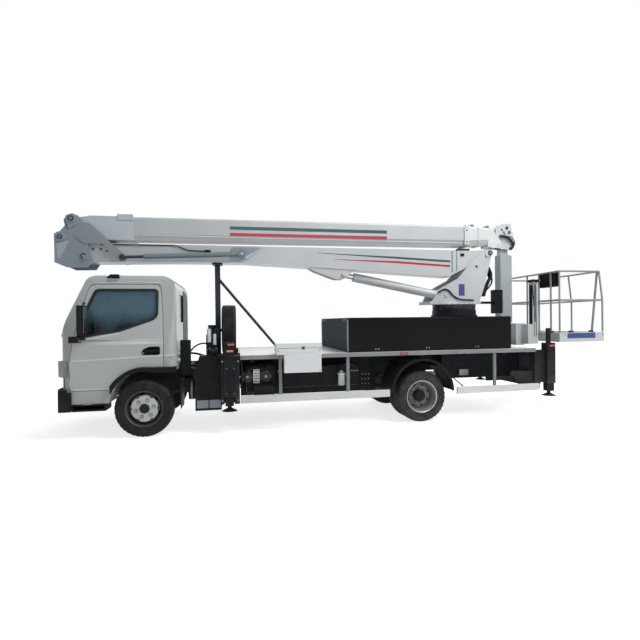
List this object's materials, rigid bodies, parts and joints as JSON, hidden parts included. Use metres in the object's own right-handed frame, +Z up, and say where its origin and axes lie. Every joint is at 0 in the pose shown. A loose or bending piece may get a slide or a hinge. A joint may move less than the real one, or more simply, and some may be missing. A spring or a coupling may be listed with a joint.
{
  "type": "truck-mounted articulated aerial work platform",
  "caption": "Light cab-over truck carrying a slewing two-boom work platform with hanging jib, rear basket, drop-leg outriggers and deck lockers.",
  "frame": {"origin": "on the ground under the middle of the stowed vehicle's box", "axes": "+X rearward along the vehicle, +Y to the vehicle's right, +Z up"},
  "size_m": [8.356, 2.244, 3.15],
  "materials": {
    "cab_paint": "satin metallic silver paint",
    "boom_paint": "gloss off-white paint",
    "grey_paint": "satin blue-grey paint",
    "black_paint": "satin black paint",
    "locker_black": "high gloss black paint",
    "chassis_paint": "dusty black chassis paint",
    "deck_aluminium": "brushed, with tread plate",
    "galvanised": "hot-dip galvanised",
    "cast": "painted casting",
    "chrome_rod": "ground and chromed",
    "rubber": "matt with light dust",
    "rim_paint": "silver wheel paint",
    "black_plastic": "grained",
    "lamp_plastic": "clear lens over a bright reflector",
    "glazing": "tinted",
    "seat_fabric": "woven"
  },
  "bodies": {
    "chassis": {"air_intake": "black_plastic", "boom_rest": "black_paint", "cab_shell": "cab_paint", "cab_windows": "glazing", "chassis_frame": "chassis_paint", "dashboard": "black_plastic", "deck": "deck_aluminium", "engine_block": "cast", "front_bumper": "black_plastic", "front_suspension": "cast", "ground_control_box": "boom_paint", "headlamps": "lamp_plastic", "lockers": "locker_black", "mudguards": "black_plastic", "outriggers": "chassis_paint", "rear_lamp_bar": "black_paint", "rear_suspension": "cast", "seats": "seat_fabric", "side_guards": "deck_aluminium", "side_tanks": "black_paint", "spare_wheel": "rubber", "subframe": "chassis_paint", "turret_pedestal": "black_paint", "valve_block": "black_paint"},
    "knuckle_left": {"steering_knuckle_left": "cast"},
    "front_wheel_left": {"front_tyre_left": "rubber", "front_rim_left": "rim_paint"},
    "rear_wheel_left": {"rear_tyres_left": "rubber", "rear_rims_left": "rim_paint"},
    "door_left_body": {"door_left": "cab_paint", "door_glass_left": "glazing"},
    "lid_left": {"locker_lid_left": "locker_black"},
    "jack_front_left_body": {"jack_front_left": "black_paint"},
    "jack_rear_left_body": {"jack_rear_left": "black_paint"},
    "knuckle_right": {"steering_knuckle_right": "cast"},
    "front_wheel_right": {"front_tyre_right": "rubber", "front_rim_right": "rim_paint"},
    "rear_wheel_right": {"rear_tyres_right": "rubber", "rear_rims_right": "rim_paint"},
    "door_right_body": {"door_right": "cab_paint", "door_glass_right": "glazing"},
    "lid_right": {"locker_lid_right": "locker_black"},
    "jack_front_right_body": {"jack_front_right": "black_paint"},
    "jack_rear_right_body": {"jack_rear_right": "black_paint"},
    "turret_body": {"turret": "boom_paint", "turret_cabinet": "black_paint"},
    "lower_boom_body": {"lower_boom": "boom_paint"},
    "lift_barrel": {"lift_cylinder_barrel": "boom_paint"},
    "lift_rod": {"lift_cylinder_rod": "chrome_rod"},
    "boom_knuckle_body": {"boom_knuckle": "grey_paint"},
    "side_barrel": {"knuckle_cylinder_barrel": "grey_paint"},
    "side_rod": {"knuckle_cylinder_rod": "chrome_rod"},
    "upper_outer": {"upper_boom_outer": "boom_paint"},
    "upper_mid": {"upper_boom_mid": "boom_paint"},
    "upper_inner": {"upper_boom_inner": "boom_paint"},
    "jib_head_body": {"jib_head": "boom_paint"},
    "jib_body": {"jib": "boom_paint"},
    "basket_arm_body": {"basket_arm": "boom_paint"},
    "basket_body": {"basket": "galvanised", "basket_control_box": "black_plastic"}
  },
  "joints": [
    {"name": "steer_left", "type": "hinge", "parent": "chassis", "child": "knuckle_left", "pos_m": [-2.878, -0.715, 0.372], "axis": [0, 0, 1], "range_deg": [-35, 35]},
    {"name": "front_wheel_left_spin", "type": "hinge", "parent": "knuckle_left", "child": "front_wheel_left", "pos_m": [-2.878, -0.84, 0.372], "axis": [0, 1, 0], "continuous": true},
    {"name": "rear_wheel_left_spin", "type": "hinge", "parent": "chassis", "child": "rear_wheel_left", "pos_m": [0.972, -0.877, 0.372], "axis": [0, 1, 0], "continuous": true},
    {"name": "door_left_hinge", "type": "hinge", "parent": "chassis", "child": "door_left_body", "pos_m": [-3.786, -0.861, 1.2], "axis": [0, 0, -1], "range_deg": [0, 70]},
    {"name": "locker_lid_left_hinge", "type": "hinge", "parent": "chassis", "child": "lid_left", "pos_m": [1.122, -0.998, 1.522], "axis": [-1, 0, 0], "range_deg": [0, 95]},
    {"name": "jack_front_left_slide", "type": "slide", "parent": "chassis", "child": "jack_front_left_body", "axis": [0, 0, -1], "range_m": [0, 0.45]},
    {"name": "jack_rear_left_slide", "type": "slide", "parent": "chassis", "child": "jack_rear_left_body", "axis": [0, 0, -1], "range_m": [0, 0.45]},
    {"name": "steer_right", "type": "hinge", "parent": "chassis", "child": "knuckle_right", "pos_m": [-2.878, 0.715, 0.372], "axis": [0, 0, 1], "range_deg": [-35, 35]},
    {"name": "front_wheel_right_spin", "type": "hinge", "parent": "knuckle_right", "child": "front_wheel_right", "pos_m": [-2.878, 0.84, 0.372], "axis": [0, 1, 0], "continuous": true},
    {"name": "rear_wheel_right_spin", "type": "hinge", "parent": "chassis", "child": "rear_wheel_right", "pos_m": [0.972, 0.877, 0.372], "axis": [0, 1, 0], "continuous": true},
    {"name": "door_right_hinge", "type": "hinge", "parent": "chassis", "child": "door_right_body", "pos_m": [-3.786, 0.861, 1.2], "axis": [0, 0, 1], "range_deg": [0, 70]},
    {"name": "locker_lid_right_hinge", "type": "hinge", "parent": "chassis", "child": "lid_right", "pos_m": [1.122, 0.998, 1.522], "axis": [1, 0, 0], "range_deg": [0, 95]},
    {"name": "jack_front_right_slide", "type": "slide", "parent": "chassis", "child": "jack_front_right_body", "axis": [0, 0, -1], "range_m": [0, 0.45]},
    {"name": "jack_rear_right_slide", "type": "slide", "parent": "chassis", "child": "jack_rear_right_body", "axis": [0, 0, -1], "range_m": [0, 0.45]},
    {"name": "turret_slew", "type": "hinge", "parent": "chassis", "child": "turret_body", "pos_m": [1.99, 0, 1.75], "axis": [0, 0, 1], "range_deg": [0, 180]},
    {"name": "lower_boom_lift", "type": "hinge", "parent": "turret_body", "child": "lower_boom_body", "pos_m": [2.501, 0, 2.591], "axis": [0, 1, 0], "range_deg": [0, 75]},
    {"name": "lift_barrel_hinge", "type": "hinge", "parent": "turret_body", "child": "lift_barrel", "pos_m": [1.742, 0, 1.905], "axis": [0, 1, 0], "range_deg": [0, 74.73]},
    {"name": "lift_rod_slide", "type": "slide", "parent": "lift_barrel", "child": "lift_rod", "axis": [-0.9814, 0, 0.192], "range_m": [0, 1.24656]},
    {"name": "knuckle_level", "type": "hinge", "parent": "lower_boom_body", "child": "boom_knuckle_body", "pos_m": [-3.768, 0, 2.437], "axis": [0, -1, 0], "range_deg": [0, 75]},
    {"name": "side_barrel_hinge", "type": "hinge", "parent": "lower_boom_body", "child": "side_barrel", "pos_m": [-1.583, -0.248, 2.518], "axis": [0, 1, 0], "range_deg": [0, 13.28]},
    {"name": "side_rod_slide", "type": "slide", "parent": "side_barrel", "child": "side_rod", "axis": [-0.9991, 0, -0.043], "range_m": [0, 0.40764]},
    {"name": "upper_boom_raise", "type": "hinge", "parent": "boom_knuckle_body", "child": "upper_outer", "pos_m": [-3.942, 0, 2.955], "axis": [0, -1, 0], "range_deg": [0, 80]},
    {"name": "boom_extend", "type": "slide", "parent": "upper_outer", "child": "upper_mid", "axis": [1, 0, 0.0052], "range_m": [0, 3.2]},
    {"name": "inner_extend", "type": "slide", "parent": "upper_mid", "child": "upper_inner", "axis": [1, 0, 0.0052], "range_m": [0, 3.2]},
    {"name": "jib_head_level", "type": "hinge", "parent": "upper_inner", "child": "jib_head_body", "pos_m": [2.777, 0, 2.765], "axis": [0, 1, 0], "range_deg": [0, 80]},
    {"name": "jib_raise", "type": "hinge", "parent": "jib_head_body", "child": "jib_body", "pos_m": [2.922, 0, 3.02], "axis": [0, -1, 0], "range_deg": [0, 120]},
    {"name": "basket_level", "type": "hinge", "parent": "jib_body", "child": "basket_arm_body", "pos_m": [2.922, 0, 1.225], "axis": [0, 1, 0], "range_deg": [0, 120]},
    {"name": "basket_turn", "type": "hinge", "parent": "basket_arm_body", "child": "basket_body", "pos_m": [3.262, -0.36, 2.1], "axis": [0, 0, -1], "range_deg": [0, 90]}
  ],
  "couplings": [
    {"joint": "steer_right", "follows": "steer_left", "ratio": 1},
    {"joint": "turret_slew", "follows": "lower_boom_lift", "ratio": 2.4},
    {"joint": "lift_barrel_hinge", "follows": "lower_boom_lift", "ratio": 0.99623},
    {"joint": "lift_rod_slide", "follows": "lower_boom_lift", "m_per_rad": 0.95154},
    {"joint": "knuckle_level", "follows": "lower_boom_lift", "ratio": 1},
    {"joint": "side_barrel_hinge", "follows": "lower_boom_lift", "ratio": 0.17698},
    {"joint": "side_rod_slide", "follows": "lower_boom_lift", "m_per_rad": 0.31065},
    {"joint": "inner_extend", "follows": "boom_extend", "ratio": 1},
    {"joint": "jib_head_level", "follows": "upper_boom_raise", "ratio": 1},
    {"joint": "basket_level", "follows": "jib_raise", "ratio": 1},
    {"joint": "basket_turn", "follows": "jib_raise", "ratio": 0.75}
  ]
}
